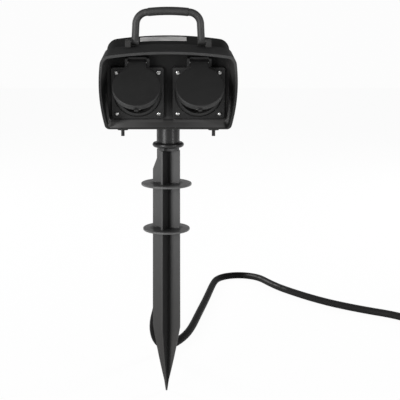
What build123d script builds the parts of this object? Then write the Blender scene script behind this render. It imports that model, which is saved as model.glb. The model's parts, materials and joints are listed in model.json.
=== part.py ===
from build123d import *
import math
import os

# Garden power post: a hooded head with two earthed outdoor sockets under hinged lids, a folding
# carrying handle, and a ground spike, with its rubber lead laid behind it. Millimetres.
# The origin is the spike's tip. The front faces -Y, +X is to the right and +Z is up.

# Ground spike
blade_radius = 14.4
blade_foot_radius = 15.2
blade_thickness = 2.2
blade_turn = -18.4
blade_top = 264.4
taper_top = 74.0
taper_bulge = 0.5
needle_top = 12.3
needle_radius = 2.6
tip_radius = 0.9
disc_thickness = 2.2
disc_sizes = [(26.1, 228.8), (24.4, 181.2)]
notch_reach = 10.0
notch_low = 241.3
notch_high = 255.3

# Neck, whose axis stands a little to the right of the blade's
neck_x = 1.8
neck_radius = 11.8
neck_wall = 1.9
bead_z = 269.8
bead_reach = 16.1
bead_radius = 2.5
neck_inside = 12.0
shank_gap = 0.1
shank_collar_radius = 11.4
shank_length = 24.0

# Sockets: a flange on a panel, and what is left round it
flange_size = 52.4
socket_pitch = 60.4
panel_margin = 2.0
panel_reach = socket_pitch / 2 + flange_size / 2 + panel_margin

# Housing shells: half widths at the foot, at the bulge and at the shoulder, then heights
seam_z = 288.0
seam_widths = (panel_reach + 2.2, panel_reach + 6.0, panel_reach + 3.2)
seam_height = 82.1
hood_widths = (panel_reach + 2.4, panel_reach + 6.8, panel_reach + 5.6)
hood_height = 83.2
hood_round = 8.0
rim_y = -38.0
rim_z = 290.0
rim_lean = 14.8
rim_widths = (panel_reach + 2.8, panel_reach + 8.1, panel_reach + 5.4)
rim_height = 78.4
rim_round = 9.5
crest_y = 30.0
crest_widths = (panel_reach + 2.4, panel_reach + 6.4, panel_reach + 3.8)
crest_height = 91.0
shell_crown = 5.0
foot_round = 5.0
shoulder_round = 12.0
back_depth = 16.0
back_inset = 8.0
shell_wall = 2.4
seal_width = 1.3
seal_depth = 1.6
seal_squeeze = 0.05

# Socket panel, set back in the hood and leaning over a little
panel_y = -19.0
panel_z = 324.2
panel_lean = 8.0
panel_thickness = 2.6
panel_widths = (panel_reach, panel_reach + 2.0, panel_reach - 0.2)
panel_round = 3.2
panel_low = -flange_size / 2 - 0.8
panel_high = flange_size / 2 + 15.8

# Socket details
flange_thickness = 2.6
flange_round = 3.0
gasket_thickness = 0.8
collar_base = 23.9
collar_top = 22.6
collar_height = 3.8
rim_radius = 21.6
rim_rise = 6.5
well_radius = 19.6
well_depth = 17.5
barrel_radius = 21.3
barrel_gap = 0.4
insert_depth = 10.0
pin_spacing = 19.0
pin_hole_radius = 2.7
key_width = 5.2
key_reach = 1.9
key_drop = 3.0
clip_width = 5.0
clip_thickness = 0.8
sleeve_radius = 3.4
sleeve_length = 9.0

# Socket lids, stored ajar as friction holds them
hinge_rise = flange_size / 2 + 5.3
hinge_stand = 6.0
lid_ajar = 48.0
lid_radius = 23.4
lid_wall = 1.3
lid_skirt = 5.6
lid_top = 10.7
tongue_width = 17.2
hinge_ear = 2.6
hinge_gap = 0.7
hinge_knuckle = 2.3
hinge_pin_radius = 1.0
hinge_pin_play = 0.06
hinge_roof = 1.6
roof_drop = 2.6
ear_stand = 8.4
tab_width = 4.0
lid_seal_thickness = 1.1

# Fasteners
flange_screw_pitch = flange_size - 10.8
flange_screw_radius = 1.4
flange_screw_length = 9.0
screw_head_radius = 2.6
screw_head_height = 1.6
screw_play = 0.05
shell_screw_radius = 1.7
shell_screw_head = 3.1
shell_screw_places = [(x * (panel_reach - d), z) for x in (-1, 1) for d, z in ((5.4, 299.0), (8.4, 357.5))]
boss_radius = 4.4
boss_reach = 24.0
shell_screw_reach = 9.0

# Handle
handle_half = 33.0
handle_y = -6.0
handle_z = 373.6
handle_rise = 34.0
leg_radius = 3.65
grip_radius = 4.1
handle_round = 12.0
handle_crown = 1.8
handle_bow_radius = 150.0
grip_edge = 0.35
handle_lean = 1.6
ear_width = 5.4
ear_length = 15.0
ear_top = 375.8
ear_gap = 0.6
handle_pin_radius = 1.6

# Drain pegs under the head
peg_spacing = 90.0
peg_y = -26.0
peg_foot_radius = 5.4
peg_foot_height = 1.6
peg_radius = 1.7
peg_length = 7.4

# Lead: gland, clamp, terminal block and conductors
cord_diameter = 9.8
gland_y = 32.0
gland_radius = 9.2
gland_nut_height = 9.0
gland_flange_radius = 10.2
gland_flange_height = 3.0
gland_relief = 26.0
gland_thread_radius = 7.6
gland_inside = 9.0
clamp_width = 26.0
clamp_height = 8.0
clamp_thickness = 5.0
clamp_z = 306.0
terminal_size = (34.0, 12.0, 17.0)
terminal_z = 344.0
feed_rise = 12.0
terminal_pitch = 10.0
conductor_radius = 1.25
jacket_top = 318.0
clip_rise = 9.0
jumper_z = 308.0
jumper_step = 4.0

# The lead's route on the floor, chosen by eye
cord_route = [
    (1.8, 32.0, 250.0),
    (1.8, 32.0, 214.0),
    (0.6, 36.0, 166.0),
    (-3.0, 46.0, 120.0),
    (-9.0, 61.0, 79.0),
    (-16.0, 79.0, 46.0),
    (-14.0, 96.0, 20.0),
    (-2.0, 112.0, 6.5),
    (12.0, 131.0, 4.9),
    (24.0, 156.0, 4.9),
    (33.0, 191.0, 4.9),
    (43.0, 240.0, 4.9),
    (54.0, 297.0, 4.9),
    (66.0, 359.0, 4.9),
    (72.0, 395.0, 4.9),
    (89.5, 413.1, 4.9),
    (114.3, 418.0, 4.9),
    (137.3, 407.7, 4.9),
    (161.5, 369.0, 4.9),
    (187.0, 329.0, 4.9),
    (220.0, 292.0, 4.9),
    (263.0, 255.0, 4.9),
    (313.8, 226.7, 4.9),
    (334.4, 191.02, 4.9),
]

# The lead's stored length, a coil of two layers beside the object
coil_start_radius = 70.0
coil_pitch = 10.7
coil_turns_per_layer = 3
coil_climb_room = 2.0
coil_entry_angle = -150.0
tail_run = 30.0

# Plug
plug_lean = 4.4
plug_radius = 19.0
plug_length = 36.0
plug_waist = 11.0
plug_relief_length = 34.0
plug_relief_tip = 6.8
plug_relief_base = 9.0
plug_pin_radius = 2.4
plug_pin_length = 19.0


def upright(y, z):
    """A plane that faces the front, with its own zero at height z."""
    return Plane(origin=(0, y, z), x_dir=(1, 0, 0), z_dir=(0, -1, 0))


def leaning(y, z, lean):
    """A plane that faces the front and looks down by lean degrees."""
    turn = math.radians(lean)
    return Plane(origin=(0, y, z), x_dir=(1, 0, 0), z_dir=(0, -math.cos(turn), -math.sin(turn)))


def outline(plane, widths, low, height, crown, low_round, high_round):
    """A shell's section: flat foot, bulged sides and crowned top, with rounded corners."""
    foot, bulge, shoulder = widths
    top = low + height
    side = top - crown
    middle = (low + side) / 2
    edges = [
        Line((-foot, low), (foot, low)),
        ThreePointArc((foot, low), (bulge, middle), (shoulder, side)),
        ThreePointArc((shoulder, side), (0, top), (-shoulder, side)),
        ThreePointArc((-shoulder, side), (-bulge, middle), (-foot, low)),
    ]
    face = make_face(edges)
    face = fillet(face.vertices().group_by(Axis.Y)[0], low_round)
    face = fillet(face.vertices().sort_by(Axis.Y)[-2:], high_round)
    return plane * face


def inset(widths, by):
    """Half widths made smaller by a wall."""
    return tuple(w - by for w in widths)


def seam_outline(by, y=0.0):
    """The section where the two shells meet, moved inwards."""
    return outline(upright(y, seam_z), inset(seam_widths, by), by, seam_height - 2 * by,
                   shell_crown, foot_round - by / 2, shoulder_round - by)


def hood_outline():
    """The front shell's outer section at the seam, a little larger than the rear shell's."""
    return outline(upright(0, seam_z), hood_widths, 0, hood_height, shell_crown, foot_round,
                   hood_round)


def rim_outline(by):
    """The section of the hood's slanted mouth, moved inwards."""
    return outline(leaning(rim_y, rim_z, rim_lean), inset(rim_widths, by), by / 2,
                   rim_height - 1.5 * by, shell_crown, foot_round - by / 2, rim_round - by)


def back_outline(by, y, more):
    """A section of the rear shell at depth y, moved inwards."""
    return outline(upright(y, seam_z), inset(crest_widths, by + more), by,
                   crest_height - 2 * by - more, shell_crown, foot_round - by / 2,
                   shoulder_round - by)


def panel_outline(back, more):
    """The socket panel's outline, on a plane that lies behind its face by back."""
    plane = leaning(panel_y, panel_z, panel_lean).offset(-back)
    return outline(plane, inset(panel_widths, -more), panel_low - more,
                   panel_high - panel_low + 1.2 * more, shell_crown, panel_round, shoulder_round - 4)


def rear_form(by, front_y):
    """The rear shell's outer form, or its hollow where by is the wall."""
    form = loft([seam_outline(by, front_y), back_outline(by, crest_y, 0)], ruled=True)
    reach = back_depth - by
    steps = [math.radians(a) for a in (0, 35, 65, 90)]
    rounds = [
        back_outline(by, crest_y + reach * math.sin(a), back_inset * (1 - math.cos(a)))
        for a in steps
    ]
    for near, far in zip(rounds, rounds[1:]):
        form += loft([near, far], ruled=True)
    return form


def on_panel(side):
    """Where a socket's own frame lies: its face on the panel, its axis out of the wall."""
    plane = leaning(panel_y, panel_z, panel_lean)
    return plane.location * Pos(side * socket_pitch / 2, 0, 0)


def disc(radius, low, high):
    """A cylinder from one height to another."""
    return Pos(0, 0, low) * extrude(Circle(radius), high - low)


def ring(outer, inner, low, high):
    """A plain ring."""
    return disc(outer, low, high) - disc(inner, low - 1, high + 1)


def screw(radius, length, head, head_height):
    """A screw that points down, with its head's underside at zero and a cross recess."""
    body = disc(radius, -length, 0.2) + disc(head, 0, head_height)
    body = fillet(body.edges().sort_by(Axis.Z)[-1], head_height * 0.45)
    arm = Box(head * 1.15, head * 0.28, head_height)
    return body - Pos(0, 0, head_height) * (arm + Rot(0, 0, 90) * arm)


def square_places(pitch):
    """The four corners of a square."""
    return [(x * pitch / 2, y * pitch / 2) for x in (-1, 1) for y in (-1, 1)]


# Places worked out from the sizes above
well_floor = rim_rise - well_depth
seat = gasket_thickness
flange_face = seat + flange_thickness
barrel_end = well_floor - insert_depth
ear_inner = tongue_width / 2 + hinge_gap
ear_outer = ear_inner + hinge_ear
roof_low = hinge_rise + hinge_knuckle + 0.9
roof_high = roof_low + hinge_roof
panel_hole = barrel_radius + barrel_gap


def make_front_housing():
    """The hood, the socket panel and the front half of the head, in one moulding."""
    form = loft([hood_outline(), rim_outline(0)], ruled=True)
    form -= loft([seam_outline(shell_wall), panel_outline(panel_thickness, 0.4)], ruled=True)
    for x, z in shell_screw_places:
        form += upright(0, 0).location * Pos(x, z) * disc(boss_radius, 0, boss_reach)
    form -= loft([panel_outline(0, 0), rim_outline(shell_wall)], ruled=True)
    for side in (-1, 1):
        hole = disc(panel_hole, -panel_thickness - 9, 9)
        for x, y in square_places(flange_screw_pitch):
            hole += Pos(x, y) * disc(flange_screw_radius + screw_play, -12, 9)
        form -= on_panel(side) * hole
    for x, z in shell_screw_places:
        form -= upright(0, 0).location * Pos(x, z) * disc(shell_screw_radius + screw_play,
                                                          -1, shell_screw_reach + 0.5)
    for side in (-1, 1):
        inner = handle_half + leg_radius + ear_gap
        block = Box(ear_width, ear_length, 12, align=(Align.MIN, Align.MAX, Align.MAX))
        block = fillet(block.edges().filter_by(Axis.X).group_by(Axis.Z)[-1], 3.0)
        place = Pos(inner, 0, ear_top) if side > 0 else Pos(-inner - ear_width, 0, ear_top)
        form += place * block
        form -= Pos(side * (inner + ear_width / 2), handle_y, handle_z) * Rot(0, 90, 0) * disc(
            handle_pin_radius, -ear_width, ear_width)
    form -= seal_groove()
    form -= disc(neck_radius + 0.05, 270, rim_z + neck_inside + 0.1)
    return form.solid()


def seal_groove():
    """The groove that the seal lies in, half in each shell."""
    near = seal_depth / 2
    outer = extrude(seam_outline(shell_wall / 2 - seal_width / 2, near), 2 * near)
    inner = extrude(seam_outline(shell_wall / 2 + seal_width / 2, near), 2 * near)
    return outer - inner


def make_housing_seal():
    """The soft cord seal between the shells."""
    near = seal_depth / 2 - seal_squeeze
    edge = seal_width / 2 - seal_squeeze
    outer = extrude(seam_outline(shell_wall / 2 - edge, near), 2 * near)
    inner = extrude(seam_outline(shell_wall / 2 + edge, near), 2 * near)
    neck = disc(neck_radius + 0.1, 270, rim_z + neck_inside)
    return (outer - inner - neck).solid()


def make_rear_housing():
    """The rear half of the head, with its screw posts and the hole for the gland."""
    form = rear_form(0, 0)
    form -= rear_form(shell_wall, -0.01)
    behind = crest_y + back_depth
    for x, z in shell_screw_places:
        post = upright(0, 0).location * Pos(x, z) * disc(boss_radius, -behind + 1, 0)
        form += post & rear_form(0, 0)
        form -= upright(0, 0).location * Pos(x, z) * disc(shell_screw_radius + screw_play,
                                                          -behind - 1, 1)
        form -= upright(0, 0).location * Pos(x, z) * disc(shell_screw_head + 0.2,
                                                          -behind - 1, -shell_head_y())
    form -= seal_groove()
    form -= disc(neck_radius + 0.05, 270, rim_z + neck_inside + 0.1)
    form -= Pos(0, gland_y) * disc(gland_thread_radius + 0.05, seam_z - 5, seam_z + 8)
    return form.solid()


def shell_head_y():
    """How far behind the seam the shell screws' heads sit."""
    return crest_y + back_depth - 8.0


def make_housing_screws():
    """Four long screws, put in from behind."""
    reach = shell_head_y() + shell_screw_reach
    screws = []
    for x, z in shell_screw_places:
        body = screw(shell_screw_radius, reach, shell_screw_head, 2.4)
        back = Plane(origin=(x, shell_head_y(), z), x_dir=(-1, 0, 0), z_dir=(0, 1, 0))
        screws.append(back.location * body)
    return Compound(screws)


def make_socket_body():
    """The flange with its collar, the well's wall and the hinge bracket above it."""
    plate = extrude(RectangleRounded(flange_size, flange_size, flange_round), flange_thickness)
    body = Pos(0, 0, seat) * plate
    body = chamfer(body.edges().group_by(Axis.Z)[-1], 0.5)
    body += Pos(0, 0, seat) * extrude_taper_ring()
    body += disc(rim_radius, flange_face, rim_rise)
    body += disc(barrel_radius, barrel_end, flange_face)
    foot = Box(2 * ear_outer, roof_high - flange_size / 2 + 1, flange_thickness,
               align=(Align.CENTER, Align.MAX, Align.MIN))
    body += Pos(0, roof_high, seat) * foot
    for side in (-1, 1):
        ear = Box(hinge_ear, roof_high - hinge_rise + 4.2, ear_stand - seat,
                  align=(Align.CENTER, Align.MAX, Align.MIN))
        ear = fillet(ear.edges().filter_by(Axis.X).group_by(Axis.Z)[-1], 1.6)
        body += Pos(side * (ear_inner + ear_outer) / 2, roof_high, seat) * ear
    roof = Box(2 * ear_inner + 1, hinge_roof, ear_stand - seat - roof_drop,
               align=(Align.CENTER, Align.MAX, Align.MIN))
    body += Pos(0, roof_high, seat) * roof
    body -= disc(well_radius, barrel_end - 1, rim_rise + 1)
    for side in (-1, 1):
        rib = Box(key_reach, key_width, well_depth - key_drop,
                  align=(Align.CENTER, Align.CENTER, Align.MIN))
        body += Pos(side * (well_radius + 0.2 - key_reach / 2), 0, well_floor) * rib
    for x, y in square_places(flange_screw_pitch):
        body -= Pos(x, y) * disc(flange_screw_radius + screw_play, -1, flange_face + 1)
    axle = Pos(0, hinge_rise, hinge_stand) * Rot(0, 90, 0)
    body -= axle * disc(hinge_pin_radius, -ear_outer - 1, ear_outer + 1)
    return body.solid()


def extrude_taper_ring():
    """The cone that rises from the flange to the collar's step."""
    profile = Polyline((0, 0), (collar_base, 0), (collar_base, flange_thickness),
                       (collar_top, collar_height), (0, collar_height), close=True)
    return revolve(Plane.XZ * make_face(profile), Axis.Z)


def make_socket_insert():
    """The well's floor, with its pin holes and the slots for the earth strip."""
    body = disc(well_radius - 0.02, barrel_end, well_floor)
    for side in (-1, 1):
        body -= Pos(side * pin_spacing / 2, 0) * disc(pin_hole_radius, barrel_end - 1,
                                                      well_floor + 1)
        slot = Box(clip_width + 0.4, clip_thickness + 0.4, insert_depth + 2)
        body -= Pos(0, side * (well_radius - 1.6), well_floor - insert_depth / 2) * slot
        body -= Pos(side * pin_spacing / 2, 0) * disc(sleeve_radius + 0.05, barrel_end - 1,
                                                      barrel_end + sleeve_length)
    return body.solid()


def make_earth_clip():
    """One strip, bent up through the insert at both ends, with sprung tips in the well."""
    top = well_floor + 9.0
    arm_y = well_radius - 1.6
    half = clip_thickness / 2
    low = barrel_end - clip_thickness
    strip = Pos(0, 0, low) * Box(clip_width, 2 * (arm_y + half), clip_thickness,
                                 align=(Align.CENTER, Align.CENTER, Align.MIN))
    for side in (-1, 1):
        arm = Box(clip_width, clip_thickness, top - low,
                  align=(Align.CENTER, Align.CENTER, Align.MIN))
        strip += Pos(0, side * arm_y, low) * arm
        tip = Cylinder(1.2, clip_width, rotation=(0, 90, 0))
        strip += Pos(0, side * (arm_y - 0.4), top) * tip
    return strip.solid()


def make_contact_sleeves():
    """The two split sleeves that grip a plug's pins."""
    sleeves = []
    for side in (-1, 1):
        sleeve = ring(sleeve_radius, pin_hole_radius - 0.3, barrel_end,
                      barrel_end + sleeve_length - 0.5)
        sleeve -= Pos(0, side * sleeve_radius, barrel_end) * Box(0.9, 2 * sleeve_radius, 14)
        sleeves.append(Pos(side * pin_spacing / 2, 0) * sleeve)
    return Compound(sleeves)


def make_flange_seal():
    """The flat gasket between the flange and the panel."""
    sheet = RectangleRounded(flange_size - 0.6, flange_size - 0.6, flange_round)
    body = extrude(sheet, seat) - disc(panel_hole, -1, seat + 1)
    for x, y in square_places(flange_screw_pitch):
        body -= Pos(x, y) * disc(flange_screw_radius + screw_play, -1, seat + 1)
    return body.solid()


def make_flange_screws(side):
    """Four bright screws that hold a socket to the panel."""
    one = screw(flange_screw_radius, flange_screw_length, screw_head_radius, screw_head_height)
    turns = (12, 48, 31, 64)
    screws = []
    for (x, y), turn in zip(square_places(flange_screw_pitch), turns):
        place = on_panel(side) * Pos(x, y, flange_face) * Rot(0, 0, turn + 20 * side)
        screws.append(place * one)
    return Compound(screws)


def make_lid():
    """A shallow cap with a skirt, its tongue to the hinge and a thumb tab, drawn closed."""
    skirt_low = lid_top - lid_skirt
    cap = disc(lid_radius, skirt_low, lid_top)
    cap = fillet(cap.edges().sort_by(Axis.Z)[-1], 1.2)
    cap -= disc(lid_radius - lid_wall, skirt_low - 1, lid_top - 2 * lid_wall)
    start = lid_radius - 3.0
    tongue = Box(tongue_width, hinge_rise - start, lid_top - hinge_stand + 1.2,
                 align=(Align.CENTER, Align.MIN, Align.MAX))
    cap += Pos(0, start, lid_top) * tongue - disc(lid_radius - lid_wall, 0, lid_top - 2 * lid_wall)
    knuckle = Pos(0, hinge_rise, hinge_stand) * Rot(0, 90, 0) * disc(
        hinge_knuckle, -tongue_width / 2, tongue_width / 2)
    slope = Pos(0, hinge_rise, hinge_stand) * Box(tongue_width + 2, 20, 20,
                                                  align=(Align.CENTER, Align.MIN, Align.CENTER))
    cap = cap - slope + knuckle
    corner = Pos(0, hinge_rise, lid_top) * Rot(45, 0, 0) * Box(tongue_width + 2, 3.6, 3.6)
    cap -= corner
    tab = Box(tab_width, 2.6, 1.8, align=(Align.CENTER, Align.MAX, Align.MIN))
    cap += Pos(0, -lid_radius + 0.8, skirt_low) * tab
    cap -= Pos(0, hinge_rise, hinge_stand) * Rot(0, 90, 0) * disc(
        hinge_pin_radius + hinge_pin_play, -tongue_width, tongue_width)
    return cap.solid()


def make_lid_seal():
    """The soft ring that meets the well's rim."""
    top = lid_top - 2 * lid_wall
    return ring(lid_radius - lid_wall - 0.1, well_radius - 1.2, top - lid_seal_thickness, top).solid()


def ajar(side):
    """Takes a piece drawn in the socket's closed frame to where the open lid stands."""
    axle = Pos(0, hinge_rise, hinge_stand)
    return on_panel(side) * axle * Rot(-lid_ajar, 0, 0) * axle.inverse()


def make_lid_pin(side):
    """The pin through both ears and the tongue."""
    pin = disc(hinge_pin_radius, -ear_outer, ear_outer)
    return on_panel(side) * Pos(0, hinge_rise, hinge_stand) * Rot(0, 90, 0) * pin


def make_handle():
    """A bail: two legs, rounded corners and a crowned, thicker grip."""
    low = handle_z
    high = handle_z + handle_rise - grip_radius
    near = handle_half - handle_lean
    path = FilletPolyline(
        (-handle_half, low), (-near, high - handle_crown), (0, high),
        (near, high - handle_crown), (handle_half, low),
        radius=[handle_round, handle_bow_radius, handle_round],
    )
    frame = upright(handle_y, 0)
    path = frame * path
    start = Plane(origin=path @ 0, z_dir=path % 0)
    body = sweep(start * Circle(leg_radius), path=path)
    middle = near - handle_round * 0.95
    crown = ThreePointArc((-middle, high - handle_crown + 0.7), (0, high),
                          (middle, high - handle_crown + 0.7))
    crown = frame * crown
    sleeve = sweep(Plane(origin=crown @ 0, z_dir=crown % 0) * Circle(grip_radius), path=crown)
    sleeve = fillet(sleeve.edges().filter_by(GeomType.CIRCLE), grip_edge)
    body += sleeve
    for side in (-1, 1):
        end = Pos(side * handle_half, handle_y, handle_z) * Rot(0, 90, 0) * disc(
            leg_radius, -leg_radius, leg_radius)
        body += end
        body -= Pos(side * handle_half, handle_y, handle_z) * Rot(0, 90, 0) * disc(
            handle_pin_radius + hinge_pin_play, -2 * leg_radius, 2 * leg_radius)
    return body.solid()


def make_handle_pins():
    """One pin in each ear, on which the legs turn."""
    pins = []
    for side in (-1, 1):
        inner = handle_half - leg_radius
        outer = handle_half + leg_radius + ear_gap + ear_width
        pin = disc(handle_pin_radius, inner + 0.4, outer - 0.6)
        pins.append(Pos(0, handle_y, handle_z) * Rot(0, 90 * side, 0) * pin)
    return Compound(pins)


def make_neck_tube():
    """The tube that hangs from the head, with a rounded bead at its mouth."""
    top = rim_z + neck_inside
    low = bead_z - bead_radius
    body = disc(neck_radius, low, top)
    bead = Pos(bead_reach - bead_radius, bead_z) * Circle(bead_radius)
    fill = Pos(neck_radius - 1, bead_z) * Rectangle(2 * (bead_reach - bead_radius - neck_radius + 1),
                                                   2 * bead_radius)
    body += revolve(Plane.XZ * (bead + fill), Axis.Z)
    body -= disc(neck_radius - neck_wall, low - 1, top - 2)
    return body.solid()


def make_spike():
    """Cross-shaped blade with two discs, tapered to a point, and the shank that fits the neck."""
    taper = Polyline((0, blade_top), (blade_radius, blade_top), (blade_foot_radius, taper_top))
    middle = ((blade_foot_radius + needle_radius) / 2 + taper_bulge, (taper_top + needle_top) / 2)
    bend = ThreePointArc((blade_foot_radius, taper_top), middle, (needle_radius, needle_top))
    point = Polyline((needle_radius, needle_top), (tip_radius, 0), (0, 0), (0, blade_top))
    envelope = revolve(Plane.XZ * make_face(Curve() + taper + bend + point), Axis.Z)
    fin = Box(4 * blade_radius, blade_thickness, blade_top,
              align=(Align.CENTER, Align.CENTER, Align.MIN))
    cross = fin + Rot(0, 0, 90) * fin
    cross += disc(blade_thickness * 0.9, 0, blade_top)
    notch = make_face(Polyline((-notch_reach, blade_top + 1), (-notch_reach, notch_high),
                               (-blade_radius - 1, notch_low), (-2 * blade_radius, notch_low),
                               (-2 * blade_radius, blade_top + 1), close=True))
    cross -= extrude(Plane.XZ * notch, 3 * blade_thickness, both=True)
    blade = Rot(0, 0, blade_turn) * (cross & envelope)
    for radius, height in disc_sizes:
        plate = disc(radius, height - disc_thickness / 2, height + disc_thickness / 2)
        plate = fillet(plate.edges().filter_by(GeomType.CIRCLE), 0.7)
        blade += plate
    bore = neck_radius - neck_wall - shank_gap
    low = bead_z - bead_radius
    blade += Pos(neck_x, 0) * disc(shank_collar_radius, blade_top - 0.2, low)
    blade += Pos(neck_x, 0) * disc(bore, low, low + shank_length)
    return blade.solid()


def make_drain_pegs():
    """Two small drain spouts under the head, each on a shallow foot."""
    pegs = []
    for side in (-1, 1):
        foot = disc(peg_foot_radius, -peg_foot_height, 0)
        foot = fillet(foot.edges().sort_by(Axis.Z)[0], 0.8)
        foot += disc(peg_radius, -peg_length, 0)
        slope = (rim_z - seam_z) / rim_y
        seat = Plane(origin=(side * peg_spacing / 2, peg_y, seam_z + slope * peg_y),
                     x_dir=(1, 0, 0), z_dir=(0, -slope, 1))
        pegs.append(seat.location * foot)
    return Compound(pegs)


def make_cable_gland():
    """The gland in the head's floor, with a nut and a tapered sleeve round the lead."""
    low = seam_z - gland_flange_height - gland_nut_height
    tip = low - gland_relief
    body = disc(gland_flange_radius, seam_z - gland_flange_height, seam_z)
    nut = extrude(RegularPolygon(gland_radius, 6), gland_nut_height)
    body += Pos(0, 0, low) * nut
    body += disc(gland_thread_radius, seam_z - 1, seam_z + gland_inside)
    profile = Polyline((0, low + 1), (gland_radius - 1.6, low + 1), (gland_radius - 1.6, low),
                       (cord_diameter / 2 + 1.2, tip), (0, tip), close=True)
    body += revolve(Plane.XZ * make_face(profile), Axis.Z)
    body -= disc(cord_diameter / 2, seam_z - gland_flange_height, seam_z + gland_inside + 1)
    body -= disc(cord_diameter / 2, tip - 1, seam_z)
    return (Pos(0, gland_y) * body).solid()


def make_cord_jacket():
    """The end of the lead's jacket inside the head."""
    tip = seam_z - gland_flange_height - gland_nut_height - gland_relief
    return (Pos(0, gland_y) * disc(cord_diameter / 2, tip, jacket_top)).solid()


def make_cord_clamp():
    """The bar that holds the jacket against the shell, on two posts."""
    reach = crest_y + back_depth - shell_wall
    bar = Box(clamp_width, clamp_thickness, clamp_height)
    body = Pos(0, gland_y - cord_diameter / 2 - clamp_thickness / 2, clamp_z) * bar
    for side in (-1, 1):
        x = side * (clamp_width / 2 - 3.5)
        start = gland_y - cord_diameter / 2 - 0.5
        post = Pos(x, start, clamp_z) * Rot(-90, 0, 0) * disc(3.2, 0, reach - start)
        body += post
        body -= Pos(x, start, clamp_z) * Rot(-90, 0, 0) * disc(1.25, -12, reach - start - 2)
    return body.solid()


def make_clamp_screws():
    """Two screws that tighten the clamp."""
    screws = []
    front = gland_y - cord_diameter / 2 - clamp_thickness
    for side in (-1, 1):
        x = side * (clamp_width / 2 - 3.5)
        place = Plane(origin=(x, front, clamp_z), x_dir=(1, 0, 0), z_dir=(0, -1, 0))
        screws.append(place.location * screw(1.2, 11.0, 2.4, 1.4))
    return Compound(screws)


def make_terminal_block():
    """Three screw terminals in a row on the rear wall."""
    long, deep, tall = terminal_size
    back = crest_y + back_depth - shell_wall
    body = Box(long, deep, tall, align=(Align.CENTER, Align.MAX, Align.CENTER))
    body = chamfer(body.edges().filter_by(Axis.X), 1.0)
    body = Pos(0, back, terminal_z) * body
    for k in (-1, 0, 1):
        body -= Pos(k * terminal_pitch, back - deep, terminal_z) * Rot(90, 0, 0) * disc(2.2, -5, 1)
        body -= Pos(k * terminal_pitch, back - deep / 2, terminal_z) * disc(
            conductor_radius + 0.05, -tall, tall)
    return body.solid()


def conductor(points, radii):
    """A bent conductor along straight runs and arcs."""
    path = FilletPolyline(*points, radius=radii)
    start = Plane(origin=path @ 0, z_dir=path % 0)
    return sweep(start * Circle(conductor_radius), path=path).solid()


def behind_socket(side, across, rise, back):
    """A point behind a socket's insert, in the head's own frame."""
    return (on_panel(side) * Pos(across, rise, barrel_end - back)).position


def make_wires(pole):
    """One pole's conductors: lead to terminal, terminal to left socket, left socket to right."""
    long, deep, tall = terminal_size
    hole_y = crest_y + back_depth - shell_wall - deep / 2
    x = pole * terminal_pitch
    low = terminal_z - tall / 2 + 0.5
    high = terminal_z + tall / 2 - 0.5
    core = pole * 2.7
    lead = conductor([(core, gland_y, jacket_top), (core, gland_y, jacket_top + 5),
                      (x, hole_y, low - 6), (x, hole_y, low + 2)], [3.0, 3.0])
    across = pole * pin_spacing / 2
    back = clip_thickness if pole == 0 else 0.0
    rise = clip_rise if pole == 0 else 1.6
    contact = behind_socket(-1, across, rise, back)
    feed = conductor([(x, hole_y, high - 2), (x, hole_y, high + feed_rise),
                      behind_socket(-1, across, rise, 12), contact], [2.6, 4.0])
    level = jumper_z + pole * jumper_step
    near = behind_socket(-1, across, -rise, back)
    far = behind_socket(1, -across, -rise, back)
    near_back = behind_socket(-1, across, -rise, 11)
    far_back = behind_socket(1, -across, -rise, 11)
    jumper = conductor([near, near_back, (near_back.X, near_back.Y + 1, level),
                        (far_back.X, far_back.Y + 1, level), far_back, far],
                       [3.5, 3.5, 3.5, 3.5])
    return Compound([lead, feed, jumper])


def tube_radii(points):
    """The largest tangent arc that each corner of a route allows."""
    corners = [Vector(*p) for p in points]
    radii = []
    for before, here, after in zip(corners, corners[1:], corners[2:]):
        turn = (here - before).get_angle(after - here)
        run = min((here - before).length, (after - here).length)
        radii.append(0.45 * run / math.tan(math.radians(turn / 2)))
    return radii


def make_cord():
    """The lead's free length: down from the gland, then in one long bend over the floor."""
    radii = tube_radii(cord_route)
    path = FilletPolyline(*cord_route, radius=radii)
    start = Plane(origin=path @ 0, z_dir=path % 0)
    body = sweep(start * Circle(cord_diameter / 2), path=path).solid()
    expected = math.pi * (cord_diameter / 2) ** 2 * path.length
    print("cord radii", [round(r) for r in radii])
    print("cord length", round(path.length), "volume ratio", round(body.volume / expected, 4))
    return body


def coil_centre():
    """The coil's middle, from the end of the route and the side that it enters on."""
    turn = math.radians(coil_entry_angle)
    x, y, z = cord_route[-1]
    return Vector(x - coil_start_radius * math.cos(turn), y - coil_start_radius * math.sin(turn), z)


def coil_edges():
    """Half turns on alternate centres: in on the lower layer, up, and out on the upper one."""
    turn = math.radians(coil_entry_angle)
    along = Vector(math.cos(turn), math.sin(turn), 0)
    across = Vector(-math.sin(turn), math.cos(turn), 0)
    halves = 2 * coil_turns_per_layer
    distances = [coil_start_radius - k * coil_pitch / 2 for k in range(halves + 1)]
    distances[-1] -= coil_climb_room
    distances += distances[::-1]
    heights = [0.0] * (halves + 1) + [coil_pitch] * (halves + 1)
    points = [
        coil_centre() + along * (d * (-1) ** k) + Vector(0, 0, h)
        for k, (d, h) in enumerate(zip(distances, heights))
    ]
    edges = []
    for k, (a, b) in enumerate(zip(points, points[1:])):
        middle = (a + b) * 0.5
        side = across * ((b - a).length / 2 * (-1) ** k)
        edges.append(ThreePointArc(a, middle + side, b))
    return edges, points[-1], across * (-1) ** (len(points) - 1)


def tail_points():
    """The short stretch from the coil to the plug, which rises a little to meet it."""
    edges, end, heading = coil_edges()
    rise = math.radians(plug_lean)
    corner = end + heading * tail_run
    climb = heading * math.cos(rise) + Vector(0, 0, math.sin(rise))
    return end, corner, corner + climb * tail_run, climb


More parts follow.
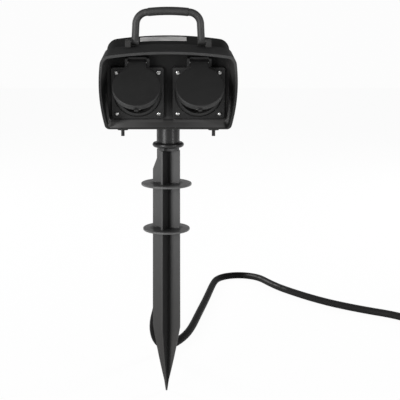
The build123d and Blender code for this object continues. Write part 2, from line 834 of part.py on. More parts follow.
def make_cord_coil():
    """The lead's stored length and its end in the plug, one unbroken tube."""
    edges, end, heading = coil_edges()
    start, corner, finish, climb = tail_points()
    tail = FilletPolyline(start, corner, finish, radius=tube_radii([start, corner, finish]))
    path = Wire(edges + list(tail.edges()))
    first = Plane(origin=path @ 0, z_dir=path % 0)
    body = sweep(first * Circle(cord_diameter / 2), path=path).solid()
    expected = math.pi * (cord_diameter / 2) ** 2 * path.length
    print("coil length", round(path.length), "volume ratio", round(body.volume / expected, 4))
    print("least gap in the coil", round(least_gap(path), 2))
    return body


def least_gap(path):
    """The least clear distance between two turns, from points along the tube's line."""
    count = 900
    step = path.length / count
    line = [path @ (k / count) for k in range(count + 1)]
    apart = int(3 * cord_diameter / step) + 1
    least = min(
        (line[a] - line[b]).length
        for a in range(0, count + 1, 2)
        for b in range(a + apart, count + 1)
    )
    return least - cord_diameter


def plug_frame(along):
    """A plane square to the plug's axis, this far past the lead's end."""
    start, corner, finish, climb = tail_points()
    return Plane(origin=finish + climb * along, x_dir=(climb.Y, -climb.X, 0), z_dir=climb)


def make_plug_relief():
    """The tapered, ribbed sleeve where the lead enters the plug."""
    body = Cone(plug_relief_tip, plug_relief_base, plug_relief_length,
                align=(Align.CENTER, Align.CENTER, Align.MIN))
    for k in range(4):
        height = 5.0 + 6.5 * k
        body -= Pos(0, 0, height) * (disc(20, 0, 2.2) - disc(plug_relief_tip - 0.6 + 0.5 * k, -1, 4))
    return (plug_frame(0).location * body).solid()


def make_plug_body():
    """The round rubber plug, with grip hollows and a flat face."""
    waist = 0.42 * plug_length
    line = Polyline((0, 0), (plug_waist, 0), (plug_waist + 1.5, 2.0))
    swell = Spline((plug_waist + 1.5, 2.0), (plug_radius - 2.0, waist), (plug_radius, plug_length - 8),
                   tangents=((0.6, 1), (0, 1)))
    front = Polyline((plug_radius, plug_length - 8), (plug_radius, plug_length), (0, plug_length), (0, 0))
    body = revolve(Plane.XZ * make_face(Curve() + line + swell + front), Axis.Z)
    body = fillet(body.edges().sort_by(Axis.Z)[-1], 1.2)
    for side in (-1, 1):
        body -= Pos(0, side * (plug_radius + 1.5), plug_length) * Box(6.0, 6.0, 34.0)
        body -= Pos(side * pin_spacing / 2, 0, plug_length) * disc(plug_pin_radius, -8, 2)
    return (plug_frame(plug_relief_length).location * body).solid()


def make_plug_pins():
    """The plug's two round pins, with rounded ends."""
    pins = []
    for side in (-1, 1):
        pin = disc(plug_pin_radius, -8, plug_pin_length)
        pin = fillet(pin.edges().sort_by(Axis.Z)[-1], 1.6)
        pins.append(Pos(side * pin_spacing / 2, 0, plug_length) * pin)
    return Compound([plug_frame(plug_relief_length).location * p for p in pins])


def build():
    """Every sub-part by its name. The head's pieces stand on the neck's axis."""
    head = {
        "front_housing": make_front_housing(),
        "rear_housing": make_rear_housing(),
        "housing_seal": make_housing_seal(),
        "housing_screws": make_housing_screws(),
        "handle": make_handle(),
        "handle_pins": make_handle_pins(),
        "neck_tube": make_neck_tube(),
        "drain_pegs": make_drain_pegs(),
        "cable_gland": make_cable_gland(),
        "cord_jacket": make_cord_jacket(),
        "cord_clamp": make_cord_clamp(),
        "clamp_screws": make_clamp_screws(),
        "terminal_block": make_terminal_block(),
        "wires_live": make_wires(-1),
        "wires_earth": make_wires(0),
        "wires_neutral": make_wires(1),
    }
    for name, side in (("left", -1), ("right", 1)):
        head["socket_body_" + name] = on_panel(side) * make_socket_body()
        head["socket_insert_" + name] = on_panel(side) * make_socket_insert()
        head["earth_clip_" + name] = on_panel(side) * make_earth_clip()
        head["contact_sleeves_" + name] = on_panel(side) * make_contact_sleeves()
        head["flange_seal_" + name] = on_panel(side) * make_flange_seal()
        head["flange_screws_" + name] = make_flange_screws(side)
        head["lid_" + name] = ajar(side) * make_lid()
        head["lid_seal_" + name] = ajar(side) * make_lid_seal()
        head["lid_pin_" + name] = make_lid_pin(side)
    parts = {name: Pos(neck_x, 0, 0) * piece for name, piece in head.items()}
    parts["spike"] = make_spike()
    parts["cord"] = make_cord()
    parts["cord_coil"] = make_cord_coil()
    parts["plug_relief"] = make_plug_relief()
    parts["plug_body"] = make_plug_body()
    parts["plug_pins"] = make_plug_pins()
    return parts


os.makedirs("parts", exist_ok=True)
for name, piece in build().items():
    export_step(piece, f"parts/{name}.step")
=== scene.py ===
# %% [markdown]
# # A garden power post, dressed in Blender
# The object is a black outdoor power post: a hooded head with two sockets under round hinged
# lids, a folding handle, a finned ground spike and a rubber lead. Its solids come from a packed
# CAD model, and this script adds what solids lack: finishes, a smooth lead, small fittings,
# light and a camera. Everything stands in the CAD model's own frame, which is in metres. Sizes
# on the post are easier to read in millimetres, so they are written that way and turned into
# metres by MM.

# %% Load the frame
import json
import math

import bmesh
import bpy
from mathutils import Matrix, Vector
from mathutils.bvhtree import BVHTree


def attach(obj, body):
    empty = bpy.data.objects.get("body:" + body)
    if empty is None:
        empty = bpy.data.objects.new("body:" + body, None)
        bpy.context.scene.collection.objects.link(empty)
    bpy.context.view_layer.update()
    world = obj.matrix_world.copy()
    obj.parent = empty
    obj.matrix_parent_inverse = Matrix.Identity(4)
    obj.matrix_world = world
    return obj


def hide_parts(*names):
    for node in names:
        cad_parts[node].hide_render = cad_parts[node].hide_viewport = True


MM = 0.001
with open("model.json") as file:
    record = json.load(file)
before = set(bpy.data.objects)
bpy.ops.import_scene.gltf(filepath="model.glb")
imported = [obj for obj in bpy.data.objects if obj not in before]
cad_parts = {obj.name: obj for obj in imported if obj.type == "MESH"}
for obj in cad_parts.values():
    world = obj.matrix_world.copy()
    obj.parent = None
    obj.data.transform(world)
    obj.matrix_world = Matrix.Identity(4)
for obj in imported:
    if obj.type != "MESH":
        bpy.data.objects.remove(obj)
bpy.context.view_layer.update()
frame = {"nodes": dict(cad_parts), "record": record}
nodes = frame["nodes"]
print("solids in the frame:", len(nodes))

# %% [markdown]
# ## The camera
# The photograph was taken from the front with a longish lens, a little above the hood and
# looking down by about twelve degrees. The post stands left of the picture's middle. Moving the
# camera sideways would show the head's flank, so the lens is shifted instead, as on a view
# camera, and the post keeps its frontal look. The camera's place is in metres.

# %% Place the camera
PICTURE = 400
FOCAL_PIXELS = 885.0
SENSOR = 36.0
CAMERA_PLACE = (0.0018, -0.900, 0.401)
CAMERA_PITCH = 11.9
POST_LEFT_OF_MIDDLE = 31.8

camera_data = bpy.data.cameras.new("camera")
camera_data.sensor_width = SENSOR
camera_data.lens = FOCAL_PIXELS * SENSOR / PICTURE
camera_data.shift_x = POST_LEFT_OF_MIDDLE / PICTURE
camera = bpy.data.objects.new("camera", camera_data)
camera.location = CAMERA_PLACE
camera.rotation_euler = (math.radians(90 - CAMERA_PITCH), 0, 0)
bpy.context.scene.collection.objects.link(camera)
bpy.context.scene.camera = camera
print("lens", round(camera_data.lens, 1), "mm")

# %% [markdown]
# ## The lead
# A rubber lead, nearly ten millimetres thick, leaves the gland under the head, hangs behind the
# spike, lands on the ground and runs back in one long bend. Its route is a short list of places
# that the line leans towards. They repeat the route of the CAD model's lead, and those behind the
# post are moved a little, to follow the photograph. The last value of each is the height, and 4.9
# means that the lead lies on the floor.

# %% Write down the lead's route
CORD_DIAMETER = 9.8
CORD_ROUTE = [
    (1.8, 32.0, 250.0), (1.8, 32.0, 214.0), (0.6, 36.0, 166.0), (-3.0, 46.0, 120.0),
    (-9.0, 61.0, 79.0), (-16.5, 79.0, 46.0), (-12.5, 94.0, 20.0), (0.0, 111.0, 6.5),
    (12.5, 131.0, 4.9), (25.0, 157.5, 4.9), (33.5, 189.0, 4.9), (43.5, 240.0, 4.9),
    (56.0, 301.0, 4.9), (69.0, 373.0, 4.9), (77.0, 399.0, 4.9), (96.0, 414.5, 4.9),
    (120.5, 416.0, 4.9), (141.5, 403.0, 4.9), (152.5, 378.0, 4.9), (170.0, 346.0, 4.9),
    (216.0, 291.0, 4.9), (263.0, 255.0, 4.9), (313.8, 226.7, 4.9),
]
route_steps = [math.dist(a, b) for a, b in zip(CORD_ROUTE, CORD_ROUTE[1:])]
print("route:", len(CORD_ROUTE), "points,", round(sum(route_steps)), "mm")

# %% [markdown]
# ### The length that the photograph doesn't show
# The rest of the lead is wound up: three turns inwards, then three outwards on top. A true spiral
# needs a formula, but half circles about two centres in turn do as well, because each half circle
# ends where the next one begins and both point the same way there. At the end the lead leaves the
# coil, runs straight for a little and rises slightly to meet its plug.

# %% Wind up the coil
COIL_ENTRY = Vector((334.4, 191.02, 4.9))
COIL_RADIUS = 70.0
COIL_PITCH = 10.7
COIL_HALF_TURNS = 6
COIL_CLIMB_ROOM = 2.0
COIL_ANGLE = math.radians(-150)
POINTS_PER_HALF_TURN = 9
TAIL_RUN = 30.0
PLUG_LEAN = math.radians(4.4)


def coil_points():
    """The coil as half turns on two alternating centres, inwards, up, and outwards."""
    along = Vector((math.cos(COIL_ANGLE), math.sin(COIL_ANGLE), 0))
    across = Vector((-math.sin(COIL_ANGLE), math.cos(COIL_ANGLE), 0))
    centre = COIL_ENTRY - along * COIL_RADIUS
    distances = [COIL_RADIUS - k * COIL_PITCH / 2 for k in range(COIL_HALF_TURNS + 1)]
    distances[-1] -= COIL_CLIMB_ROOM
    distances += distances[::-1]
    heights = [0.0] * (COIL_HALF_TURNS + 1) + [COIL_PITCH] * (COIL_HALF_TURNS + 1)
    ends = [
        centre + along * (d * (-1) ** k) + Vector((0, 0, h))
        for k, (d, h) in enumerate(zip(distances, heights))
    ]
    points = [ends[0]]
    for k, (a, b) in enumerate(zip(ends, ends[1:])):
        middle = (a + b) / 2
        side = across * ((b - a).length / 2 * (-1) ** k)
        for step in range(1, POINTS_PER_HALF_TURN + 1):
            turn = math.pi * step / POINTS_PER_HALF_TURN
            points.append(middle + (a - middle) * math.cos(turn) + side * math.sin(turn))
    return points, across * (-1) ** (len(ends) - 1)


turns, heading = coil_points()
corner = turns[-1] + heading * TAIL_RUN
climb = heading * math.cos(PLUG_LEAN) + Vector((0, 0, math.sin(PLUG_LEAN)))
cord_points = [Vector(p) for p in CORD_ROUTE] + turns + [corner, corner + climb * TAIL_RUN]
print("points on the lead:", len(cord_points))

# %% [markdown]
# ### From points to rubber
# A curve with a round bevel is the natural tool for a lead. A NURBS spline is used because its
# points only pull on the line, so a few of them give a bend without kinks, as rubber does. The
# bevel is one metre deep, and each point's radius brings it down to the lead's own. The curve
# takes the place of the CAD model's two solids, and it rides on the post's fixed body.

# %% Bend a curve along the points
ROUND_STEPS, LENGTH_STEPS = 6, 5

cord_curve = bpy.data.curves.new("cord_line", "CURVE")
cord_curve.dimensions = "3D"
cord_curve.bevel_depth = 1.0
cord_curve.bevel_resolution = ROUND_STEPS
cord_curve.resolution_u = LENGTH_STEPS
cord_curve.use_fill_caps = True
spline = cord_curve.splines.new("NURBS")
spline.points.add(len(cord_points) - 1)
for point, place in zip(spline.points, cord_points):
    point.co = (*(place * MM), 1)
    point.radius = CORD_DIAMETER / 2 * MM
spline.order_u = 3
spline.use_endpoint_u = True
cord = bpy.data.objects.new("lead", cord_curve)
bpy.context.scene.collection.objects.link(cord)

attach(cord, "root")
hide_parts("cord", "cord_coil")
print("lead's thickness:", round(spline.points[0].radius * 2 / MM, 2), "mm")

# %% [markdown]
# ## Writing materials as sums
# A material is a tree of nodes, and trees are hard to read as long lists of links. The class
# below wraps one output of a node. Adding or multiplying two of them adds the Math node that does
# it, so a recipe reads like the sentence "roughness is 0.4 plus a little noise". Two more words
# pick out places: a band is within a middle and a half width, and a step is above or below a
# level. Each has a softness, so that wear and dust fade out as they do on the real thing.

# %% Wrap a socket
class Shade:
    """One output of a tree that understands plus, minus, times, bands and steps."""

    def __init__(self, recipe, socket):
        self.recipe, self.socket = recipe, socket

    def __add__(self, other):
        return self.recipe.math("ADD", self, other)

    def __sub__(self, other):
        return self.recipe.math("SUBTRACT", self, other)

    def __rsub__(self, other):
        return self.recipe.math("SUBTRACT", other, self)

    def __mul__(self, other):
        return self.recipe.math("MULTIPLY", self, other)

    __radd__, __rmul__ = __add__, __mul__

    def above(self, level, soft):
        """0 under the level and 1 over it, with a soft step between."""
        settings = {"interpolation_type": "SMOOTHSTEP"}
        values = {"Value": self, "From Min": level - soft, "From Max": level + soft}
        return self.recipe.add("ShaderNodeMapRange", settings, values)

    def below(self, level, soft):
        """1 under the level and 0 over it."""
        return 1 - self.above(level, soft)

    def within(self, middle, half, soft):
        """1 where the value is near the middle, 0 further away than half."""
        return self.recipe.math("ABSOLUTE", self - middle).below(half, soft)


print("a shade's own words:", [word for word in vars(Shade) if not word.startswith("_")])

# %% [markdown]
# ## One method for every node
# Blender's own calls make a node, set it and link it in many lines. Here one method does all of
# it, from the node's type, its settings and the values or links of its sockets. Materials, the
# world and the small fittings' trees are all built through it.

# %% Wrap a node tree
class Maker:
    """A node tree whose nodes all come from one method."""

    def __init__(self, tree):
        self.tree = tree
        self.tree.nodes.clear()

    def add(self, kind, settings=None, values=None, output=0):
        """Adds a node, sets its settings and then its sockets, and returns one output."""
        node = self.tree.nodes.new(kind)
        for name, setting in (settings or {}).items():
            setattr(node, name, setting)
        for name, value in (values or {}).items():
            for part in value if isinstance(value, list) else [value]:
                if isinstance(part, Shade):
                    self.tree.links.new(part.socket, node.inputs[name])
                else:
                    node.inputs[name].default_value = part
        return Shade(self, node.outputs[output]) if node.outputs else None

    def math(self, operation, first, second=0.0):
        """A Math node on two values."""
        return self.add("ShaderNodeMath", {"operation": operation}, {0: first, 1: second})

    def split(self, vector):
        """The three parts of a vector."""
        parts = self.add("ShaderNodeSeparateXYZ", None, {"Vector": vector})
        return [Shade(self, parts.socket.node.outputs[name]) for name in "XYZ"]


print("a maker's own words:", [word for word in vars(Maker) if not word.startswith("_")])

# %% [markdown]
# ## The words of a recipe
# Every finish below is written with a few words: where a point is, noise of a size, a blend of
# two colours, thin coats over a colour, and a bump. Places are read in Object coordinates, which
# are the post's own, so a patch of dust stays on its piece when the piece moves.

# %% Write recipes for materials
class Recipe(Maker):
    """A material, or the world, made of such nodes."""

    def __init__(self, name, owner=None):
        self.material = owner or bpy.data.materials.new(name)
        self.material.use_nodes = True
        super().__init__(self.material.node_tree)

    def place(self):
        """A point's place on the object, in metres."""
        return self.add("ShaderNodeTexCoord", output="Object")

    def coordinates(self):
        """The three parts of a point's place on the object, in millimetres."""
        return [part * (1 / MM) for part in self.split(self.place())]

    def noise(self, size, detail=2.0, stretch=(1, 1, 1)):
        """Soft random spots about this many millimetres across, from 0 to 1."""
        scaled = self.add("ShaderNodeMapping", None, {"Vector": self.place(), "Scale": stretch})
        values = {"Vector": scaled, "Scale": 1 / (size * MM), "Detail": detail}
        return self.add("ShaderNodeTexNoise", None, values)

    def blend(self, share, first, second):
        """Two colours, mixed by a share."""
        values = {"Factor": share, "A": first, "B": second}
        return self.add("ShaderNodeMix", {"data_type": "RGBA"}, values, output="Result")

    def coats(self, colour, *layers):
        """A colour under thin coats, each a share and a colour of its own."""
        for share, coat in layers:
            colour = self.blend(share, colour, coat)
        return colour

    def bump(self, height, depth):
        """A surface that rises by this many millimetres where the height is 1."""
        values = {"Height": height, "Distance": depth * MM, "Strength": 1.0}
        return self.add("ShaderNodeBump", None, values)

    def finish(self, **values):
        """The shader itself, and the material's output."""
        sockets = {name.replace("_", " "): value for name, value in values.items()}
        shader = self.add("ShaderNodeBsdfPrincipled", None, sockets)
        self.add("ShaderNodeOutputMaterial", None, {"Surface": shader})
        return self.material


def grey(level, warm=0.0):
    """A nearly neutral colour."""
    return (level * (1 + warm), level, level * (1 - warm), 1)


print("black plastic is a grey of", grey(0.015)[:3])

# %% [markdown]
# ## Moulded plastic
# The post is spark-eroded polypropylene: a fine leathery grain that scatters highlights. The
# grain is about half a millimetre, far too small to model, so it is bump. A second, slower noise
# makes the gloss uneven, and dust sits lightly here and there. One function describes this skin
# for every plastic with a grain, and another mixes the plain ones, which differ only in tone,
# gloss and grain. A plain one may also have a fine paler parting line, as the handle does.

# %% Describe a moulded skin
BROAD_SPOTS, SMALL_SPOTS = 38.0, 9.0
DUSTED = (0.56, 0.16)
SEAM_HALF, SEAM_SHARE, SEAM_PALER = 0.35, 0.7, 2.6


def moulded_skin(r, grain, dust):
    """The fine grain, the small spots, the dust and the uneven gloss of a moulded piece."""
    fine = r.noise(grain, 3.0)
    broad = r.noise(BROAD_SPOTS, 4.0)
    cloud = r.noise(SMALL_SPOTS, 5.0)
    dusty = (broad * 0.6 + cloud * 0.4).above(*DUSTED) * dust
    uneven = (fine - 0.5) * 0.10 + (broad - 0.5) * 0.12 + dusty * 0.18
    return fine, cloud, dusty, uneven


def moulded(name, tone, gloss, grain, depth, dust, seam=None):
    """A plain moulded plastic, with a parting line at a place across it where it has one."""
    r = Recipe(name)
    fine, cloud, dusty, uneven = moulded_skin(r, grain, dust)
    colour = r.blend(dusty, grey(tone), grey(tone * 2.1 + 0.012, 0.03))
    if seam is not None:
        line = r.coordinates()[0].within(seam, SEAM_HALF, SEAM_HALF / 2)
        colour = r.blend(line * SEAM_SHARE, colour, grey(tone * SEAM_PALER))
    return r.finish(Base_Color=colour, Roughness=uneven + (1 - gloss),
                    Normal=r.bump(fine, depth), IOR=1.5)


print("slow spots:", BROAD_SPOTS, "and", SMALL_SPOTS, "mm")

# %% [markdown]
# ## Where light and shade are painted on the head
# The shell is one plastic. Its top has gone matt, and its colour there is darker as painted shade.
# The recess is painted deep black as shade, but paler low down as painted light. Painted light
# also makes the shoulders, the sill, the sill's left end, the back of the sill under the sockets
# and a strip low on the recess's inner walls paler, and the hood's lip and the two ears beside the
# handle carry painted highlights.
# A painted picture could say all this, but it would need a flat map of the shell. Bands and steps
# on the shell's own millimetres need none. Below, a band is a middle, a half width and a
# softness, and a step is a level and a softness. BESIDE values count from the head's middle.

# %% Note where light and shade are painted on the head
HEAD_MIDDLE = 1.8
MOUTH_Y, MOUTH_Z, MOUTH_LEAN = -38.0, 290.0, math.radians(14.8)
LIP_STEP, LIP_HIGHLIGHT_STEP = (0.35, 0.2), (346.0, 5.0)
RECESS_ACROSS, RECESS_UP = (HEAD_MIDDLE, 57.0, 2.0), (331.5, 32.5, 2.5)
FOOT_STEP = (309.0, 9.0)
SHADED_TOP_STEP = (352.0, 6.0)
SHOULDERS_BESIDE, SHOULDERS_UP, SHOULDERS_BACK = (58.5, 4.0), (339.0, 8.0), (-6.0, 20.0)
WALL_INNER, WALL_OUTER, WALL_DEEP = (56.7, 1.0), (61.5, 0.2), (-24.0, 6.0, 2.0)
WALL_TOP, WALL_FOOT = (314.0, 20.0), (295.0, 2.0)
EARS_BESIDE, EARS_UP, EARS_DEEP = (39.95, 2.9, 0.3), (368.5, 1.0), (-7.5, 8.5, 0.5)
SILL_LEFT, SILL_RIGHT = (-57.0, 0.8), (57.3, 1.5)
SILL_UP, SILL_DEEP = (293.8, 4.2, 1.0), (-28.0, 9.0, 1.0)
SILL_ENDS, RIGHT_HALF, NOOK_STEP = (24.0, 16.0), (0.0, 10.0), (-46.0, 7.0)
CORNER_DEEP, CORNER_TOP, CORNER_BESIDE = (-19.0, 4.0, 2.0), (300.0, 1.5), (5.0, 1.0)


def head_places(r):
    """How far a point belongs to each place of painted light or shade, from 0 to 1."""
    x, y, z = r.coordinates()
    beside = r.math("ABSOLUTE", x - HEAD_MIDDLE)
    ahead = (y - MOUTH_Y) * math.cos(MOUTH_LEAN) + (z - MOUTH_Z) * math.sin(MOUTH_LEAN)
    sideways = x.within(*RECESS_ACROSS)
    recess = sideways * z.within(*RECESS_UP)
    shoulders = beside.above(*SHOULDERS_BESIDE) * z.above(*SHOULDERS_UP)
    wall = beside.above(*WALL_INNER) * beside.below(*WALL_OUTER) * y.within(*WALL_DEEP)
    sill = x.above(*SILL_LEFT) * x.below(*SILL_RIGHT) * z.within(*SILL_UP) * y.within(*SILL_DEEP)
    corner = sideways * y.within(*CORNER_DEEP) * z.below(*CORNER_TOP)
    # The recess and the top are painted shade, the lip and the ears painted highlights, and the
    # lower recess, shoulders, walls, sill and its corners painted light.
    return {
        "recess": recess,
        "foot": recess * z.below(*FOOT_STEP),
        "weathered": z.above(*SHADED_TOP_STEP) * (1 - recess),
        "shoulders": shoulders * y.below(*SHOULDERS_BACK),
        "wall": wall * z.below(*WALL_TOP) * z.above(*WALL_FOOT),
        "sill": sill,
        "sill_ends": beside.above(*SILL_ENDS) * (1 - x.above(*RIGHT_HALF) * 0.35),
        "nook": sill * x.below(*NOOK_STEP),
        "corner": corner * (beside.above(*CORNER_BESIDE) * 0.65 + 0.35),
        "lip": ahead.below(*LIP_STEP) * (z.above(*LIP_HIGHLIGHT_STEP) * 0.9 + 0.1),
        "ears": beside.within(*EARS_BESIDE) * z.above(*EARS_UP) * y.within(*EARS_DEEP),
    }


print("recess from", RECESS_UP[0] - RECESS_UP[1], "to", RECESS_UP[0] + RECESS_UP[1], "mm up")

# %% [markdown]
# ### The head's own plastic
# These places become coats over the plain black, laid one after the other: painted shade in the
# recess, painted light low in it, painted shade on the top, then painted light on the shoulders,
# walls, sill, its left end and its back, and the painted highlights on lip and ears last. Each
# coat has a share, a tone and a touch of warmth. The sill's painted light and the lip's painted
# highlight are patchy, so the small spots thin them, and the sill's is brighter towards its ends.

# %% Mix the head's plastic
# Every coat is painted light or shade: shade in the recess and on the top, highlights on lip and
# ears, light on all the rest.
HEAD_COATS = {
    "recess": (0.75, 0.007, 0.0), "foot": (0.85, 0.038, 0.0), "weathered": (0.7, 0.009, 0.0),
    "shoulders": (0.8, 0.046, 0.01), "wall": (0.9, 0.18, 0.01), "sill": (1.0, 0.225, 0.01),
    "nook": (0.8, 0.36, 0.01), "corner": (0.9, 0.21, 0.01), "lip": (1.0, 0.062, 0.0),
    "ears": (0.9, 0.062, 0.01),
}
HEAD_GRAIN, HEAD_GRAIN_DEPTH, HEAD_DUST = 0.5, 0.012, 0.10
HEAD_ROUGH = 0.52


def shell_finish():
    """The head's plastic, with painted shade, painted light and painted highlights by place."""
    r = Recipe("head_shell")
    fine, cloud, dusty, uneven = moulded_skin(r, HEAD_GRAIN, HEAD_DUST)
    at = head_places(r)
    worn = at["weathered"] * 0.33 + at["recess"] * 0.2 - at["lip"] * 0.16
    # The sill's painted light is patchy and brighter towards its ends; the lip's painted highlight
    # is patchy.
    at["sill"] = at["sill"] * (at["sill_ends"] * 0.36 + cloud * 0.2 + 0.42)
    at["lip"] = at["lip"] * (cloud * 0.5 + 0.5)
    plain = r.blend(dusty, grey(0.015), grey(0.042, 0.03))
    coats = [(at[place] * share, grey(tone, warm))
             for place, (share, tone, warm) in HEAD_COATS.items()]
    return r.finish(Base_Color=r.coats(plain, *coats), Roughness=uneven + worn + HEAD_ROUGH,
                    Normal=r.bump(fine, HEAD_GRAIN_DEPTH), Specular_IOR_Level=0.28)


print("coats on the head:", len(HEAD_COATS))

# %% [markdown]
# ## The spike's plastic
# The spike's discs are paler towards their rims, as a painted reflection broken up by scratches,
# and its blades are darker lower down. The corner between the front blade and the right one is
# painted near black as shade, and the discs' tops just in front of the blades are painted dark as
# the blades' reflection. The corner runs the spike's whole length and is turned a little, as the
# blades are, so its place is measured along the blades' own directions. The scratches are a noise
# squeezed in height.

# %% Mix the spike's plastic
BLADE_TURN = math.radians(18.4)
LOWER_DARK_STEP = (110.0, 95.0)
BLADE_FACE, CORNER_END = (0.75, 0.2), (5.0, 1.8)
DISC_FROM, DISC_TO, DISC_FRONT = (17.0, 1.0), (23.2, 0.8), (-1.0, 0.5)
DISC_BANDS = ((228.8, 1.6, 0.2), (181.2, 1.6, 0.2))
BLADES_ACROSS = (0.0, 13.6, 0.8)
SCRATCHED = (0.66, 0.05)


def spike_finish():
    """The spike's plastic: painted reflections on the discs, painted shade in one corner."""
    r = Recipe("spike_plastic")
    x, y, z = r.coordinates()
    flow = r.noise(1.2, 3.0, (1, 1, 0.25))
    broad = r.noise(30.0, 4.0)
    scratch = r.noise(1.6, 5.0, (1, 1, 6))
    outwards = r.math("SQRT", x * x + y * y)
    disc = outwards.above(*DISC_FROM)
    upper_part = z.above(*LOWER_DARK_STEP)
    right = x * math.cos(BLADE_TURN) - y * math.sin(BLADE_TURN)
    ahead = 0 - x * math.sin(BLADE_TURN) - y * math.cos(BLADE_TURN)
    # Painted shade: the corner between the front blade and the right one is painted near black.
    shaded_corner = right.above(*BLADE_FACE) * right.below(*CORNER_END) * ahead.above(*BLADE_FACE)
    shaded_corner = shaded_corner * (1 - disc)
    # Painted reflection: the discs' tops just in front of the blades are painted dark, as the
    # blades' reflection.
    on_disc = z.within(*DISC_BANDS[0]) + z.within(*DISC_BANDS[1])
    middle = on_disc * x.within(*BLADES_ACROSS) * y.below(*DISC_FRONT) * outwards.below(*DISC_TO)
    # The discs are painted paler as a reflection, broken up by scratches, and the blades are
    # darker lower down.
    colour = r.coats(
        r.blend(upper_part, grey(0.024, 0.05), grey(0.043)),
        (disc * (scratch * 0.4 + 0.6), grey(0.122)),
        (scratch.above(*SCRATCHED) * 0.35, grey(0.090)),
        (shaded_corner * 0.95, grey(0.004)),
        (middle * 0.9, grey(0.016)),
    )
    rough = (broad - 0.5) * 0.16 + (flow - 0.5) * 0.10 + (1 - upper_part) * 0.10 + shaded_corner * 0.4
    return r.finish(Base_Color=colour, Roughness=rough + 0.46, Normal=r.bump(flow, 0.012))


print("scuffed discs at", [band[0] for band in DISC_BANDS], "mm")

# %% [markdown]
# ## All the plastics
# The other pieces are mixed from the plain function, each with a tone and a gloss of its own. The
# handle is the palest of the blacks, and its parting line is left of the middle. Inside the head,
# the lead's clamp is a mid grey and the terminal block nearly white, as such parts usually are.

# %% Mix the plastics
HANDLE_SEAM = -21.0
PLAIN_PLASTICS = {
    "handle_plastic": dict(tone=0.042, gloss=0.46, grain=0.4, depth=0.010, dust=0.10,
                           seam=HANDLE_SEAM),
    "neck_plastic": dict(tone=0.009, gloss=0.66, grain=1.6, depth=0.0004, dust=0.06),
    "socket_plastic": dict(tone=0.013, gloss=0.50, grain=0.35, depth=0.008, dust=0.08),
    "insert_plastic": dict(tone=0.010, gloss=0.55, grain=0.4, depth=0.006, dust=0.05),
    "lid_plastic": dict(tone=0.017, gloss=0.46, grain=0.45, depth=0.012, dust=0.08),
    "gland_plastic": dict(tone=0.022, gloss=0.55, grain=0.5, depth=0.008, dust=0.10),
    "inner_plastic": dict(tone=0.33, gloss=0.60, grain=0.8, depth=0.006, dust=0.05),
    "block_plastic": dict(tone=0.66, gloss=0.62, grain=0.8, depth=0.005, dust=0.03),
}
plastics = {"head_shell": shell_finish(), "spike_plastic": spike_finish()}
for name, mix in PLAIN_PLASTICS.items():
    plastics[name] = moulded(name, **mix)
print("plastics:", len(plastics))

# %% [markdown]
# ## Rubber
# The seals and the plug are rubber, darker and duller than the plastic, with a bloom of talc. The
# lead's jacket is rubber too, but it changes along its way: deep black and almost without shine
# where it rises beyond the spike, and paler and rougher further to the right, where a pale streak
# along its upper side is a painted highlight. So it has a finish of its own, with the streak's
# place given. The wires inside have shiny coverings in their usual colours, and the earth wire
# has two.

# %% Mix the rubbers
TALC_STEP = (0.58, 0.14)
FAR_STEP = (122.0, 12.0)
STREAK_ALONG, STREAK_UP, STREAK_BREAKS = (147.0, 24.0, 6.0), (7.7, 0.9, 0.6), (0.42, 0.16)
STRIPE_STEP = (0.52, 0.02)
RUBBER_IOR = 1.48


def rubber(name, tone, rough, bloom=0.3):
    """A plain dull rubber with a bloom of talc."""
    r = Recipe(name)
    skin = r.noise(0.8, 4.0)
    talc = r.noise(14.0, 4.0).above(*TALC_STEP) * bloom
    colour = r.blend(talc, grey(tone), grey(tone * 2.4 + 0.01, 0.02))
    gloss = rough + (skin - 0.5) * 0.14 + talc * 0.15
    return r.finish(Base_Color=colour, Roughness=gloss, Normal=r.bump(skin, 0.02), IOR=RUBBER_IOR)


def lead_finish():
    """The lead's jacket: deep black where it rises, paler further out with a painted highlight."""
    r = Recipe("cord_rubber")
    x, y, z = r.coordinates()
    skin = r.noise(0.8, 4.0)
    beyond = x.above(*FAR_STEP)
    # Painted highlight: a pale streak along the lead's upper side, broken into pieces.
    streak = x.within(*STREAK_ALONG) * z.within(*STREAK_UP)
    streak = streak * r.noise(6.0, 4.0).above(*STREAK_BREAKS)
    colour = r.coats(grey(0.006), (beyond, grey(0.022, 0.01)), (streak * 0.8, grey(0.13, 0.01)))
    gloss = 0.42 + (skin - 0.5) * 0.14 + beyond * 0.10
    return r.finish(Base_Color=colour, Roughness=gloss, Normal=r.bump(skin, 0.02), IOR=RUBBER_IOR,
                    Specular_IOR_Level=0.05)


def insulation(name, colour, second=None):
    """Shiny coloured wire covering, in two colours where the earth wire has them."""
    r = Recipe(name)
    skin = r.noise(1.5, 2.0)
    stripe = r.noise(3.2, 0.0).above(*STRIPE_STEP)
    tint = r.blend(stripe, colour, second or tuple(c * 0.92 for c in colour[:3]) + (1,))
    return r.finish(Base_Color=tint, Roughness=0.34 + skin * 0.12, Normal=r.bump(skin, 0.01))


BROWN, BLUE = (0.16, 0.055, 0.02, 1), (0.03, 0.12, 0.46, 1)
GREEN, YELLOW = (0.10, 0.33, 0.06, 1), (0.72, 0.62, 0.04, 1)
rubbers = {
    "seal_rubber": rubber("seal_rubber", 0.020, 0.62),
    "cord_rubber": lead_finish(),
    "plug_rubber": rubber("plug_rubber", 0.020, 0.50, 0.25),
    "live_wire": insulation("live_wire", BROWN),
    "neutral_wire": insulation("neutral_wire", BLUE),
    "earth_wire": insulation("earth_wire", GREEN, YELLOW),
}
print("rubbers:", len(rubbers))

# %% [markdown]
# ## Metal
# The screws are bright zinc, the contacts brass, the pins nickel. Turning and stamping leave fine
# scratches, which here are a stretched noise in the roughness and the bump. Dull spots, a few
# millimetres wide, break up the shine as handling does.

